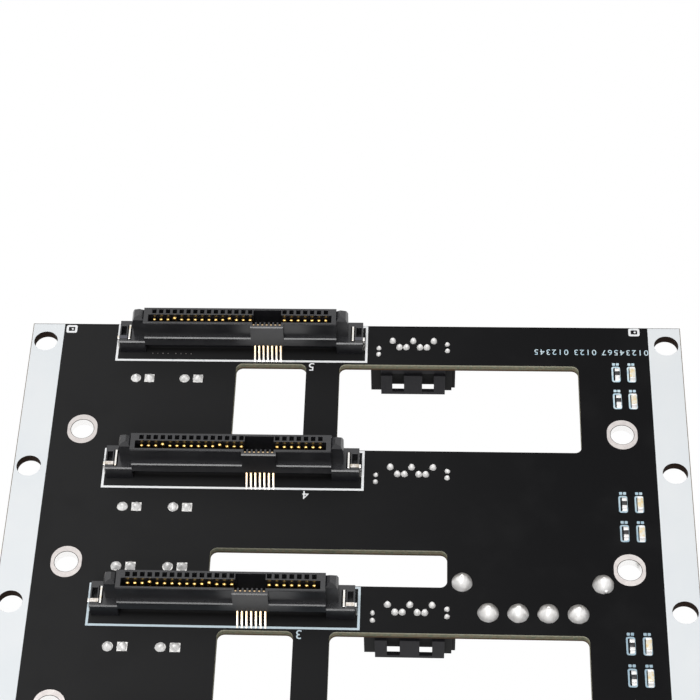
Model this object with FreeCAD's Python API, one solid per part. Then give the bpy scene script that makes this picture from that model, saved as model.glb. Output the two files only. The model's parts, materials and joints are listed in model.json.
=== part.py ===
import FreeCAD, Part
import math
import os

# Drive backplane board for five stacked 3.5 inch drives, millimetres, +Z up.
# The origin lies under the middle of the board, in the plane the back parts stand on.
# +Y is the end with bay 5, -Y the end with bay 1, and the drives plug in from +Z.
# Sizes marked "from the row" are measured from the solder row of a bay, along Y.

Vector = FreeCAD.Vector

# ---- board ----
bay_count = 5
bay_pitch = 28.6
board_width = 121.0
board_thick = 1.6
first_row_inset = 3.95

# ---- air cut-outs between the bays, Y from the rows above and below ----
cut_corner = 1.25
cut_far_offset = 5.15
cut_near_offset = 4.0
left_cut_x = (-21.5, -8.5)
right_cut_start = -2.35
right_cut_inset = 19.0
slot_x = (-23.7, 17.55)
slot_height = 7.45

# ---- holes for the cage's screws and guide pins ----
strip_hole_dia = 4.4
strip_hole_inset = 2.75
strip_hole_offset = 0.2
ring_hole_dia = 4.4
ring_hole_inset = 11.7
ring_hole_offset = 20.5

# ---- contacts of the drive receptacle ----
power_contacts = 15
signal_contacts = 7
contact_pitch = 1.27
segment_gap = 6.35
contact_width = 0.72
contact_thick = 0.2
contact_tip_z = 6.9
contact_bulge_z = 6.15
contact_bulge_depth = 0.55
contact_gap = 0.15
early_contacts = (3, 11)
early_rise = 0.45

# ---- contacts of the second port, on the near side of the receptacle ----
port_contacts = 7
port_pitch = 0.8
port_width = 0.4
port_thick = 0.2
port_top = 7.3
port_reach = 2.55

# ---- drive receptacle, layers along Y counted from its near face ----
rec_x = -20.75
rec_near_y = -1.95
rec_near_wall = 0.45
rec_slot_width = 1.7
rec_bar = 0.25
cavity_depth = 0.95
rec_far_wall = 0.35
rec_tower_top = 7.75
rec_slot_end = 1.075
rec_end_wall = 0.85
rec_slot_floor = 1.0
rec_shelf_depth = 0.75
rec_shelf_top = 4.4
rec_shelf_under = 2.3
rec_undercut = 0.75
rec_key_margin = 0.6
rec_key_wall = 0.4
bump_depth = 0.8
bump_wall = 0.55
bump_end = 0.65
cavity_room = 0.04
cavity_height = 1.85
notch_room = 0.05

# ---- ears and posts at the receptacle's ends, X counted from the tower's end ----
ear_length = 4.85
ear_top = 3.1
ear_y = (-2.7, 2.3)
ear_bevel = 0.22
post_width = 2.15
post_y = (-1.05, 1.4)
post_top = 8.5
post_peak = 0.75
post_inner_drop = 1.0
post_shoulder = (1.75, 0.6)
post_outer_drop = 1.6
post_nose = (0.55, 1.0)
pocket_x = (3.6, 4.6)
pocket_y = (-1.1, 1.05)
pocket_depth = 2.0

# ---- sheet metal locks of the receptacle ----
lock_start = 3.0
lock_thick = 0.35
lock_blade_y = (-2.05, 1.3)
lock_rise = 0.1
lock_strap_y = (-1.9, -1.2)
lock_strap_thick = 0.3
lock_tail_y = (-1.0, 0.9)
lock_tail_under = 0.8
lock_gap = 0.1
lock_slot_room = 0.22

# ---- cable header on the back, heights counted down from the board ----
hdr_x = 11.2
hdr_contacts = 7
hdr_height = 10.05
hdr_wall = 0.8
hdr_tongue_gap = 0.3
hdr_y = (-3.2, 2.4)
hdr_flange = 1.9
hdr_flange_y = -2.2
hdr_step = 0.65
hdr_step_y = -1.55
hdr_base = 2.6
hdr_brow = 4.35
hdr_brow_depth = 0.55
hdr_window_x = (1.7, 3.9)
tongue_end = 1.09
tongue_y = -1.04
tongue_half_thick = 0.6
tongue_leg = 0.7
tongue_leg_depth = 1.0
tongue_tip = 1.1
hdr_contact_width = 0.6
hdr_contact_thick = 0.25
hdr_contact_tip = 1.6
hdr_row_offset = 0.4
hdr_row_gap = 1.5
hdr_fork_start = 0.35
hdr_fork_thick = 0.5
hdr_fork_width = 2.3
hdr_fork_depth = 1.8
hdr_fork_y = (-2.05, -1.07)
hdr_prong_pitch = 1.45

# ---- capacitors on the back ----
can_dia = 6.3
can_sides = 10
can_height = 10.0
can_pitch = 2.5
can_x = (-38.72, -29.68)
can_offset = 8.75
can_second_offset = 21.25

# ---- power header on the back, Y counted from its pin row ----
pwr_x = 32.13
pwr_pins = 4
pwr_pitch = 5.08
pwr_pin_offset = 0.95
pwr_end = 3.83
pwr_height = 9.6
pwr_rear = 2.2
pwr_depth = 15.0
pwr_wall = 0.95
pwr_rear_wall = 2.0
pwr_key = 1.6
pwr_pin_dia = 2.1
pwr_pin_sides = 8
pwr_pin_short = 1.2
pwr_tab = (1.8, 0.9)
pwr_peg_out = 0.6
pwr_peg_ahead = 6.0
pwr_peg_size = 1.5
pwr_ear = 1.6
pwr_ear_thick = 2.6
pwr_ear_half = 1.5

# ---- solder joints on the drive side: foot radius, height ----
dome_sides = 6
cone_sides = 4
signal_joint = (0.55, 0.55)
fork_joint = (0.4, 0.4)
can_joint = (0.95, 0.6)
power_joint = (1.7, 1.1)
power_joint_tip = 0.7

# ---- lamps and their resistors, X counted from the board's edge ----
lamp_inset = 9.35
resistor_inset = 12.15
chip_offsets = (6.9, 13.0)
lamp_size = (1.1, 2.7, 0.7)
resistor_size = (0.9, 2.1, 0.5)

# ---- levels and lengths that follow ----
board_length = bay_count * bay_pitch
back_z = max(can_height, pwr_height, hdr_height)
top_z = back_z + board_thick
far_edge = board_length / 2
near_edge = -board_length / 2
half_width = board_width / 2

contact_span = (power_contacts + signal_contacts - 2) * contact_pitch + segment_gap
key_middle = -contact_span / 2 + (power_contacts - 1) * contact_pitch + segment_gap / 2
port_span = (port_contacts - 1) * port_pitch
rec_slot_half = contact_span / 2 + rec_slot_end
rec_tower_half = rec_slot_half + rec_end_wall
rec_half = rec_tower_half + ear_length
lock_x = rec_tower_half + lock_start
rec_slot_near = rec_near_y + rec_near_wall
rec_slot_far = rec_slot_near + rec_slot_width
cavity_near = rec_slot_far + rec_bar
rec_far_y = cavity_near + cavity_depth + rec_far_wall
bump_half = port_span / 2 + bump_end
notch_near = rec_near_y - bump_depth + bump_wall

hdr_span = (hdr_contacts - 1) * contact_pitch
tongue_half = hdr_span / 2 + tongue_end
hdr_half = tongue_half + hdr_tongue_gap + hdr_wall
hdr_flange_half = hdr_half + hdr_flange
hdr_fork_x = hdr_half + hdr_fork_start

pwr_half = (pwr_pins - 1) * pwr_pitch / 2 + pwr_end
pwr_peg_half = pwr_half + pwr_peg_out


def row_y(bay):
    """Y of the solder row of a bay, counted from 0 at the +Y end."""
    return far_edge - first_row_inset - bay * bay_pitch


def gaps():
    """Bays that have another bay below them."""
    return range(bay_count - 1)


def has_slot(bay):
    """Every second gap holds a slot and a power header instead of two wide cut-outs."""
    return bay % 2 == 1 and bay in gaps()


def box(x, y, z):
    """Box from pairs of limits."""
    corner = Vector(x[0], y[0], z[0])
    return Part.makeBox(x[1] - x[0], y[1] - y[0], z[1] - z[0], corner)


def around(middle, half):
    """Pair of limits at equal distance from a middle."""
    return (middle - half, middle + half)


def polygon(points):
    return Part.makePolygon(points + [points[0]])


def prism(points, along):
    """Solid from a closed outline moved along a vector."""
    outline = polygon([Vector(*point) for point in points])
    return Part.Face(outline).extrude(Vector(*along))


def profile_yz(points, x):
    """Outline in Y and Z, moved along X between two limits."""
    outline = [(x[0], y, z) for y, z in points]
    return prism(outline, (x[1] - x[0], 0, 0))


def profile_xy(points, z):
    """Outline in X and Y, moved along Z between two limits."""
    outline = [(px, py, z[0]) for px, py in points]
    return prism(outline, (0, 0, z[1] - z[0]))


def rounded_box(x, y, z, radius):
    """Box with its four upright edges rounded."""
    block = box(x, y, z)
    upright = [edge for edge in block.Edges if abs(edge.tangentAt(edge.FirstParameter).z) > 0.5]
    return block.makeFillet(radius, upright)


def cylinder(x, y, z, dia):
    return Part.makeCylinder(dia / 2, z[1] - z[0], Vector(x, y, z[0]))


def joined(shapes):
    """One solid from solids that overlap or share faces."""
    return shapes[0].fuse(shapes[1:]).removeSplitter()


def mirrored_x(shape, x):
    """Copy of a shape mirrored in the plane at x."""
    return shape.mirror(Vector(x, 0, 0), Vector(1, 0, 0))


def square_cut(normal):
    """Offset that ends a strip level or upright, whichever its first run is nearer to."""
    if abs(normal.y) > abs(normal.z):
        return Vector(0, 1 / normal.y, 0)
    return Vector(0, 0, 1 / normal.z)


def spring(points, thick, x):
    """Bent flat strip: its centre line in Y and Z, thickened to both sides, with a sharp tip."""
    centre = [Vector(0, y, z) for y, z in points]
    normals = []
    for start, end in zip(centre, centre[1:]):
        run = (end - start).normalize()
        normals.append(Vector(0, -run.z, run.y))
    offsets = [square_cut(normals[0])]
    for before, after in zip(normals, normals[1:]):
        middle = (before + after).normalize()
        offsets.append(middle * (1 / middle.dot(after)))
    left = [point + offset * (thick / 2) for point, offset in zip(centre, offsets)]
    right = [point - offset * (thick / 2) for point, offset in zip(centre, offsets)]
    outline = [(point.y, point.z) for point in left + [centre[-1]] + right[::-1]]
    return profile_yz(outline, x)


def ring_points(radius, sides):
    """Corners of a regular outline whose flats lie at the radius."""
    outer = radius / math.cos(math.pi / sides)
    angles = [(n + 0.5) * 2 * math.pi / sides for n in range(sides)]
    return [(outer * math.cos(angle), outer * math.sin(angle)) for angle in angles]


def export(name, shapes):
    """Write one node, as one solid or as a group of separate solids."""
    solids = [solid for shape in shapes for solid in shape.Solids]
    body = solids[0] if len(solids) == 1 else Part.makeCompound(solids)
    body.exportStep(os.path.join("parts", name + ".step"))


def hole_centres(inset, offset):
    """A pair of holes for each bay, near the long edges of the board."""
    return [(side * (half_width - inset), row_y(bay) - offset)
            for bay in range(bay_count) for side in (-1, 1)]


def cut_limits(bay):
    """X and Y limits of each air cut-out below a bay."""
    near = row_y(bay + 1) + cut_near_offset
    far = row_y(bay) - cut_far_offset
    if has_slot(bay):
        return [(slot_x, (near, near + slot_height))]
    right_cut_x = (right_cut_start, half_width - right_cut_inset)
    return [(left_cut_x, (near, far)), (right_cut_x, (near, far))]


def lock_tail(side, y, gap):
    """Tail of a receptacle lock, or its hole when a gap is given."""
    x = around(rec_x + side * lock_x, lock_thick / 2 + gap)
    return box(x, (y + lock_tail_y[0] - gap, y + lock_tail_y[1] + gap),
               (back_z - lock_tail_under, top_z))


def power_row_y(bay):
    """Y of the pin row of the power header below a bay."""
    return row_y(bay + 1) - pwr_pin_offset


def peg_centres(y):
    return [(pwr_x + side * pwr_peg_half, y + pwr_peg_ahead) for side in (-1, 1)]


def square_peg(centre, z, gap):
    half = pwr_peg_size / 2 + gap
    return box(around(centre[0], half), around(centre[1], half), z)


def make_board():
    z = (back_z, top_z)
    blank = box((-half_width, half_width), (near_edge, far_edge), z)
    tools = []
    for bay in gaps():
        tools += [rounded_box(x, y, z, cut_corner) for x, y in cut_limits(bay)]
        if has_slot(bay):
            tools += [square_peg(centre, z, lock_gap) for centre in peg_centres(power_row_y(bay))]
    for x, y in hole_centres(strip_hole_inset, strip_hole_offset):
        tools.append(cylinder(x, y, z, strip_hole_dia))
    for x, y in hole_centres(ring_hole_inset, ring_hole_offset):
        tools.append(cylinder(x, y, z, ring_hole_dia))
    for bay in range(bay_count):
        tools += [lock_tail(side, row_y(bay), lock_gap) for side in (-1, 1)]
    return blank.cut(tools)


def contact_centres():
    """X of the power and signal contacts, measured from the receptacle's middle."""
    power = [-contact_span / 2 + n * contact_pitch for n in range(power_contacts)]
    start = power[-1] + segment_gap
    return power + [start + n * contact_pitch for n in range(signal_contacts)]


def port_centres():
    """X of the second port's contacts, measured from the receptacle's middle."""
    return [key_middle - port_span / 2 + n * port_pitch for n in range(port_contacts)]


def receptacle_end(y):
    """Right-hand end of the receptacle: low ear, blind-mate post, slot and pocket."""
    low = top_z
    high = top_z + ear_top
    start = rec_x + rec_tower_half
    end = rec_x + rec_half
    ear = profile_yz([(y + ear_y[0], low), (y + ear_y[1], low), (y + ear_y[1], high),
                      (y + ear_y[0] + ear_bevel, high), (y + ear_y[0], high - ear_bevel)],
                     (start, end))
    side = start + post_width
    peak = top_z + post_top
    front = y + post_y[0]
    back = y + post_y[1]
    front_view = [(start, front, low), (side, front, low), (side, front, peak - post_outer_drop),
                  (start + post_shoulder[0], front, peak - post_shoulder[1]),
                  (start + post_peak, front, peak), (start, front, peak - post_inner_drop)]
    post = prism(front_view, (0, back - front, 0))
    noses = [profile_yz([(face, peak - post_nose[1]), (face, peak),
                         (face + inward * post_nose[0], peak)], (start, side))
             for face, inward in ((front, 1), (back, -1))]
    blade_slot = box(around(rec_x + lock_x, lock_thick / 2 + lock_slot_room),
                     (y + lock_blade_y[0] - lock_gap, y + lock_blade_y[1] + lock_gap), (low, high))
    pocket = box((start + pocket_x[0], start + pocket_x[1]),
                 (y + pocket_y[0], y + pocket_y[1]), (high - pocket_depth, high))
    strap_groove = box((rec_x + lock_x, end),
                       (y + lock_strap_y[0] - lock_gap, y + lock_strap_y[1] + lock_gap),
                       (low, low + lock_strap_thick + lock_gap))
    return joined([ear, post.cut(noses)]).cut([blade_slot, pocket, strap_groove])


def receptacle_middle(y):
    """Tower, shelf and foot as one section moved along X, with the bump of the second port."""
    low = top_z
    mouth = top_z + rec_tower_top
    near = y + rec_near_y
    foot = near + rec_undercut
    shelf = near - rec_shelf_depth
    section = [(foot, low), (y + rec_far_y, low), (y + rec_far_y, mouth), (near, mouth),
               (near, low + rec_shelf_top), (shelf, low + rec_shelf_top),
               (shelf, low + rec_shelf_under), (foot, low + rec_shelf_under)]
    body = profile_yz(section, around(rec_x, rec_tower_half))
    bump = box(around(rec_x + key_middle, bump_half), (near - bump_depth, near),
               (low + rec_shelf_under, mouth))
    return joined([body, bump])


def make_receptacle(y):
    """Moulded housing: blade slot, key gap, a cavity for each contact and a comb of notches."""
    mouth = top_z + rec_tower_top
    floor = top_z + rec_slot_floor
    near = y + rec_slot_near
    right = receptacle_end(y)
    housing = joined([receptacle_middle(y), right, mirrored_x(right, rec_x)])
    tools = [box(around(rec_x, rec_slot_half), (near, y + rec_slot_far), (floor, mouth)),
             box(around(rec_x + key_middle, segment_gap / 2 - rec_key_margin),
                 (near, y + rec_far_y - rec_key_wall), (floor, mouth))]
    for x in contact_centres():
        tools.append(box(around(rec_x + x, contact_width / 2 + cavity_room),
                         (y + cavity_near, y + cavity_near + cavity_depth),
                         (mouth - cavity_height, mouth)))
    for x in port_centres():
        tools.append(box(around(rec_x + x, port_width / 2 + notch_room),
                         (y + notch_near, near), (top_z + rec_shelf_under, mouth)))
    return housing.cut(tools)


def make_drive_contacts(y):
    """Springs that stand in the slot and bulge toward the blade, two of them rising first."""
    springs = []
    stem = y + rec_slot_far - contact_gap - contact_thick / 2
    for index, x in enumerate(contact_centres()):
        rise = early_rise if index in early_contacts else 0
        path = [(stem, top_z + rec_slot_floor),
                (stem - contact_bulge_depth, top_z + contact_bulge_z + rise),
                (stem, top_z + contact_tip_z + rise)]
        springs.append(spring(path, contact_thick, around(rec_x + x, contact_width / 2)))
    return springs


def make_port_contacts(y):
    """Second port: a flat foot on the board, bent up into its notch."""
    contacts = []
    sole = top_z + port_thick / 2
    stem = y + notch_near + port_thick
    for x in port_centres():
        path = [(stem - port_reach, sole), (stem, sole), (stem, top_z + port_top)]
        contacts.append(spring(path, port_thick, around(rec_x + x, port_width / 2)))
    return contacts


def make_receptacle_locks(y):
    """Sheet metal lock at each end: blade, strap under the ear, outer leg and board tail."""
    x = around(rec_x + lock_x, lock_thick / 2)
    end = rec_x + rec_half
    high = top_z + ear_top
    strap_y = (y + lock_strap_y[0], y + lock_strap_y[1])
    blade = box(x, (y + lock_blade_y[0], y + lock_blade_y[1]), (top_z, high + lock_rise))
    strap = box((x[0], end + lock_thick), strap_y, (top_z, top_z + lock_strap_thick))
    leg = box((end, end + lock_thick), strap_y, (top_z, high))
    right = joined([blade, strap, leg, lock_tail(1, y, 0)])
    return [right, mirrored_x(right, rec_x)]


def header_blades(y, gap):
    """Blades of the cable header's forks, or their pockets when a gap is given."""
    half = hdr_fork_width / 2 + gap
    return [box(around(hdr_x + side * hdr_fork_x, hdr_fork_thick / 2 + gap),
                around(y + middle, half), (back_z - hdr_fork_depth, back_z))
            for side, middle in zip((-1, 1), hdr_fork_y)]


def make_cable_header(y):
    """Upright shroud on the back, open downward, with two latch windows and an L tongue."""
    mouth = back_z - hdr_height
    near, far = y + hdr_y[0], y + hdr_y[1]
    step_x = hdr_x + hdr_flange_half - hdr_step
    plan = [(hdr_x - hdr_half, near), (hdr_x + hdr_half, near),
            (hdr_x + hdr_half, y + hdr_flange_y), (step_x, y + hdr_flange_y),
            (step_x, y + hdr_step_y), (hdr_x + hdr_flange_half, y + hdr_step_y),
            (hdr_x + hdr_flange_half, far), (hdr_x - hdr_flange_half, far),
            (hdr_x - hdr_flange_half, y + hdr_flange_y), (hdr_x - hdr_half, y + hdr_flange_y)]
    brow = box(around(hdr_x, hdr_half), (near, near + hdr_brow_depth), (back_z - hdr_brow, back_z))
    tools = [brow, box(around(hdr_x, hdr_half - hdr_wall), (near + hdr_wall, far - hdr_wall),
                       (mouth, back_z - hdr_base))]
    for side in (-1, 1):
        x = sorted((hdr_x + side * hdr_window_x[0], hdr_x + side * hdr_window_x[1]))
        tools.append(box(x, (near, near + hdr_wall), (mouth + hdr_wall, back_z - hdr_brow)))
    shell = profile_xy(plan, (mouth, back_z)).cut(tools + header_blades(y, lock_gap))
    tongue_z = (mouth + tongue_tip, back_z - hdr_base)
    face = y + tongue_y + tongue_half_thick
    tongue = box(around(hdr_x, tongue_half), around(y + tongue_y, tongue_half_thick), tongue_z)
    leg = box((hdr_x - tongue_half, hdr_x - tongue_half + tongue_leg),
              (face, face + tongue_leg_depth), tongue_z)
    return joined([shell, tongue, leg])


def header_pin_centres(y):
    """Staggered pin row of a cable header: every third pin stands further back."""
    far_row = y + hdr_row_offset
    return [(hdr_x - hdr_span / 2 + n * contact_pitch,
             far_row if n % 3 == 0 else far_row - hdr_row_gap) for n in range(hdr_contacts)]


def make_header_contacts(y):
    """Flat blades on the tongue's face."""
    face = y + tongue_y + tongue_half_thick
    return [box(around(x, hdr_contact_width / 2), (face, face + hdr_contact_thick),
                (back_z - hdr_height + hdr_contact_tip, back_z - hdr_base))
            for x, pin_y in header_pin_centres(y)]


def can_centres(bay):
    rows = [row_y(bay) - can_offset]
    if has_slot(bay):
        rows.append(row_y(bay) - can_second_offset)
    return [(x, y) for y in rows for x in can_x]


def make_cans():
    """Upright cans, many-sided because there are so many of them."""
    ring = ring_points(can_dia / 2, can_sides)
    return [profile_xy([(x + px, y + py) for px, py in ring], (back_z - can_height, back_z))
            for bay in range(bay_count) for x, y in can_centres(bay)]


def pin_centres():
    first = pwr_x - (pwr_pins - 1) * pwr_pitch / 2
    return [first + n * pwr_pitch for n in range(pwr_pins)]


def make_power_header(y):
    """Lying shroud, open toward +Y, with keyed corners and an ear over each peg."""
    low = back_z - pwr_height
    rear = y + pwr_rear
    shell = box(around(pwr_x, pwr_half), (rear, rear + pwr_depth), (low, back_z))
    inner = pwr_half - pwr_wall
    z0 = low + pwr_wall
    z1 = back_z - pwr_wall
    back = rear + pwr_rear_wall
    opening = [(pwr_x - inner, back, z1), (pwr_x + inner, back, z1),
               (pwr_x + inner, back, z0 + pwr_key), (pwr_x + inner - pwr_key, back, z0),
               (pwr_x - inner + pwr_key, back, z0), (pwr_x - inner, back, z0 + pwr_key)]
    tools = [prism(opening, (0, pwr_depth - pwr_rear_wall, 0))]
    for x in pin_centres():
        tools.append(box(around(x, pwr_tab[0] / 2), (rear, back),
                         around((low + back_z) / 2, pwr_tab[1] / 2)))
    ears = []
    for centre in peg_centres(y):
        side = math.copysign(1, centre[0] - pwr_x)
        reach = sorted((pwr_x + side * pwr_half, centre[0] + side * pwr_ear))
        ear_z = (back_z - pwr_ear_thick, back_z)
        ears.append(box(reach, around(centre[1], pwr_ear_half), ear_z))
        tools.append(square_peg(centre, ear_z, 0))
    return joined([shell] + ears).cut(tools)


def make_power_pins(y):
    """Round bars in the shroud, each with a flat tab through the rear wall and up to the board."""
    back = y + pwr_rear + pwr_rear_wall
    tip = y + pwr_rear + pwr_depth - pwr_pin_short
    level = back_z - pwr_height / 2
    half = pwr_tab[1] / 2
    elbow = [(back, level - half), (back, level + half), (y + half, level + half),
             (y + half, back_z), (y - half, back_z), (y - half, level - half)]
    pins = []
    for x in pin_centres():
        outline = [(x + px, back, level + pz)
                   for px, pz in ring_points(pwr_pin_dia / 2, pwr_pin_sides)]
        bar = prism(outline, (0, tip - back, 0))
        tab = profile_yz(elbow, around(x, pwr_tab[0] / 2))
        pins.append(joined([bar, tab]))
    return pins


def make_power_pegs(y):
    return [square_peg(centre, (back_z - pwr_ear_thick, top_z), 0) for centre in peg_centres(y)]


def solder_cone(x, y, joint):
    """Pointed joint of a small pin."""
    foot, height = joint
    ring = [Vector(x + px, y + py, top_z) for px, py in ring_points(foot, cone_sides)]
    peak = Vector(x, y, top_z + height)
    faces = [Part.Face(polygon([start, end, peak]))
             for start, end in zip(ring, ring[1:] + ring[:1])]
    return Part.makeSolid(Part.makeShell(faces + [Part.Face(polygon(ring))]))


def solder_dome(x, y, joint, tip):
    """Broad joint of a large pin, flat on top."""
    foot, height = joint
    lower = [Vector(x + px, y + py, top_z) for px, py in ring_points(foot, dome_sides)]
    upper = [Vector(x + px, y + py, top_z + height) for px, py in ring_points(tip, dome_sides)]
    corners = list(zip(lower, upper))
    faces = [Part.Face(polygon([start[0], end[0], end[1], start[1]]))
             for start, end in zip(corners, corners[1:] + corners[:1])]
    caps = [Part.Face(polygon(lower)), Part.Face(polygon(upper))]
    return Part.makeSolid(Part.makeShell(faces + caps))


def make_solder_joints():
    joints = []
    for bay in range(bay_count):
        y = row_y(bay)
        joints += [solder_cone(x, pin_y, signal_joint) for x, pin_y in header_pin_centres(y)]
        for side, middle in zip((-1, 1), hdr_fork_y):
            joints += [solder_cone(hdr_x + side * hdr_fork_x,
                                   y + middle + step * hdr_prong_pitch / 2, fork_joint)
                       for step in (-1, 1)]
        for x, can_y in can_centres(bay):
            joints += [solder_cone(x + side * can_pitch / 2, can_y, can_joint)
                       for side in (-1, 1)]
        if has_slot(bay):
            y = power_row_y(bay)
            pads = [(x, y) for x in pin_centres()] + peg_centres(y)
            joints += [solder_dome(x, pad_y, power_joint, power_joint_tip) for x, pad_y in pads]
    return joints


def make_chips(inset, y, size):
    """Pair of small surface parts, standing along Y near the board's edge."""
    x = half_width - inset
    return [box(around(x, size[0] / 2), around(y - offset, size[1] / 2), (top_z, top_z + size[2]))
            for offset in chip_offsets]


os.makedirs("parts", exist_ok=True)
export("board", [make_board()])
export("solder_joints", make_solder_joints())
export("electrolytic_capacitors", make_cans())
for bay in range(bay_count):
    y = row_y(bay)
    tag = str(bay_count - bay)
    export("drive_receptacle_" + tag, [make_receptacle(y)])
    export("drive_contacts_" + tag, make_drive_contacts(y))
    export("second_port_contacts_" + tag, make_port_contacts(y))
    export("receptacle_locks_" + tag, make_receptacle_locks(y))
    export("cable_header_" + tag, [make_cable_header(y)])
    export("cable_contacts_" + tag, make_header_contacts(y))
    export("cable_header_forks_" + tag, header_blades(y, 0))
    export("status_lamps_" + tag, make_chips(lamp_inset, y, lamp_size))
    export("lamp_resistors_" + tag, make_chips(resistor_inset, y, resistor_size))
    if has_slot(bay):
        y = power_row_y(bay)
        export("power_header_" + tag, [make_power_header(y)])
        export("power_pins_" + tag, make_power_pins(y))
        export("power_pegs_" + tag, make_power_pegs(y))
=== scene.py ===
import json
import math

import bmesh
import bpy
from mathutils import Matrix, Vector, noise


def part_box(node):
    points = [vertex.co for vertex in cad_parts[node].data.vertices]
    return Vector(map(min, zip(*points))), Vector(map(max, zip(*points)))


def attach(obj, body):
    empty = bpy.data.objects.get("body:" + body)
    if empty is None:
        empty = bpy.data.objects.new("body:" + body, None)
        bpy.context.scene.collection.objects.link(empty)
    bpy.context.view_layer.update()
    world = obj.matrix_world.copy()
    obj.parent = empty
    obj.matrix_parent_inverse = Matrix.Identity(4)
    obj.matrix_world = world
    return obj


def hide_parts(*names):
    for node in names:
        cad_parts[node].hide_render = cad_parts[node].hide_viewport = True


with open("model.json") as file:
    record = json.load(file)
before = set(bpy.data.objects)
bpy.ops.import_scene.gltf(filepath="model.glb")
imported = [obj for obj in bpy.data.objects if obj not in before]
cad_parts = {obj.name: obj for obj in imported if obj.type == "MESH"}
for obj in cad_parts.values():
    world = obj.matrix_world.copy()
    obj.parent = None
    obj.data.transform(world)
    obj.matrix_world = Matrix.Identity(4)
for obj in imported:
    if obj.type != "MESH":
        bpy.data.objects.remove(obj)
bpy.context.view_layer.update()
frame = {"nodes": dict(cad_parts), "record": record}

# ---------------------------------------------------------------------------
# Board: five-bay glass-epoxy laminate under black solder mask, routed to shape,
# so that every cut wall shows the bare greenish laminate between two dark skins.
# It is the CAD board itself; only its finish is made here.
# ---------------------------------------------------------------------------
MM = 0.001
# Mask colours: a painted sheen on the left that fades to plain black on the right.
mask_left_painted_sheen = (0.021, 0.021, 0.0215)
mask_right_without_sheen = (0.0042, 0.0042, 0.0048)
mask_worn = (0.014, 0.014, 0.0145)
routed_tan = (0.34, 0.29, 0.20)
routed_green = (0.21, 0.235, 0.165)
wall_top_painted_highlight = (0.56, 0.55, 0.42)
routed_foot = (0.115, 0.075, 0.045)
edge_brown = (0.16, 0.115, 0.07)
drilled_brown = (0.030, 0.018, 0.013)
screw_margin = 6.0 * MM
outer_rim_width = 0.16 * MM
far_rim_width = 0.28 * MM
board_low, board_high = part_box("board")
board_top = board_high[2]
board_back = board_low[2]
board_thick = board_top - board_back
bays = ["5", "4", "3", "2", "1"]
mounts = {mount["name"]: mount for mount in frame["record"]["mounts"]}
bay_pitch = mounts["edge_screws_outer"]["dims"]["spacing_y_mm"] * MM / (len(bays) - 1)


class Number:
    """A number that varies over a surface: arithmetic on it adds Math nodes."""

    def __init__(self, finish, socket):
        self.finish = finish
        self.socket = socket

    def maths(self, operation, *terms):
        return self.finish.node("ShaderNodeMath", {"operation": operation}, dict(enumerate(terms)))

    def __add__(self, other):
        return self.maths("ADD", self, other)

    def __sub__(self, other):
        return self.maths("SUBTRACT", self, other)

    def __mul__(self, other):
        return self.maths("MULTIPLY", self, other)

    def __truediv__(self, other):
        return self.maths("DIVIDE", self, other)

    def __abs__(self):
        return self.maths("ABSOLUTE", self)

    def __gt__(self, other):
        return self.maths("GREATER_THAN", self, other)

    def __lt__(self, other):
        return self.maths("LESS_THAN", self, other)

    def fade(self, start, end):
        """0 at start, 1 at end, smooth between them."""
        return self.finish.node("ShaderNodeMapRange", {"interpolation_type": "SMOOTHSTEP"},
                                {"Value": self, "From Min": start, "From Max": end})


class Finish:
    """A finish for one material of the object, built up node by node."""

    def __init__(self, name, color, roughness, metallic=0.0, **constants):
        self.material = bpy.data.materials.new(name)
        self.material.use_nodes = True
        self.tree = self.material.node_tree
        self.shader = self.tree.nodes["Principled BSDF"]
        self.shader.inputs["Base Color"].default_value = (*color, 1)
        self.shader.inputs["Roughness"].default_value = roughness
        self.shader.inputs["Metallic"].default_value = metallic
        for key, value in constants.items():
            self.shader.inputs[key.replace("_", " ")].default_value = value

    def node(self, kind, settings=None, sockets=None, output=0):
        made = self.tree.nodes.new(kind)
        for key, value in (settings or {}).items():
            setattr(made, key, value)
        for key, value in (sockets or {}).items():
            self.feed(made.inputs[key], value)
        return Number(self, made.outputs[output])

    def feed(self, socket, value):
        if isinstance(value, Number):
            self.tree.links.new(value.socket, socket)
        elif isinstance(value, tuple) and len(value) == 3 and socket.type == "RGBA":
            socket.default_value = (*value, 1)
        else:
            socket.default_value = value

    def place(self):
        """Where the shaded point is on the object, in metres."""
        return self.node("ShaderNodeTexCoord", output="Object")

    def facing(self):
        """Which way the surface faces, on the object's own axes."""
        return self.node("ShaderNodeTexCoord", output="Normal")

    def axis(self, vector, letter):
        return self.node("ShaderNodeSeparateXYZ", None, {0: vector}, output=letter)

    def noise(self, size, detail=3.0, roughness=0.5, vector=None):
        """Soft noise whose blotches are about the given size in metres."""
        return self.node("ShaderNodeTexNoise", None, {
            "Vector": vector or self.place(), "Scale": 1 / size,
            "Detail": detail, "Roughness": roughness}, output="Fac")

    def mix(self, factor, first, second):
        """Colour between two colours."""
        return self.node("ShaderNodeMix", {"data_type": "RGBA"}, {0: factor, 6: first, 7: second},
                         output=2)

    def bump(self, height, depth):
        """Relief: height runs 0 to 1 and stands for depth metres."""
        normal = self.node("ShaderNodeBump", None, {"Height": height, "Distance": depth})
        self.feed(self.shader.inputs["Normal"], normal)

    def color(self, value):
        self.feed(self.shader.inputs["Base Color"], value)

    def roughness(self, value):
        self.feed(self.shader.inputs["Roughness"], value)


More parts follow.
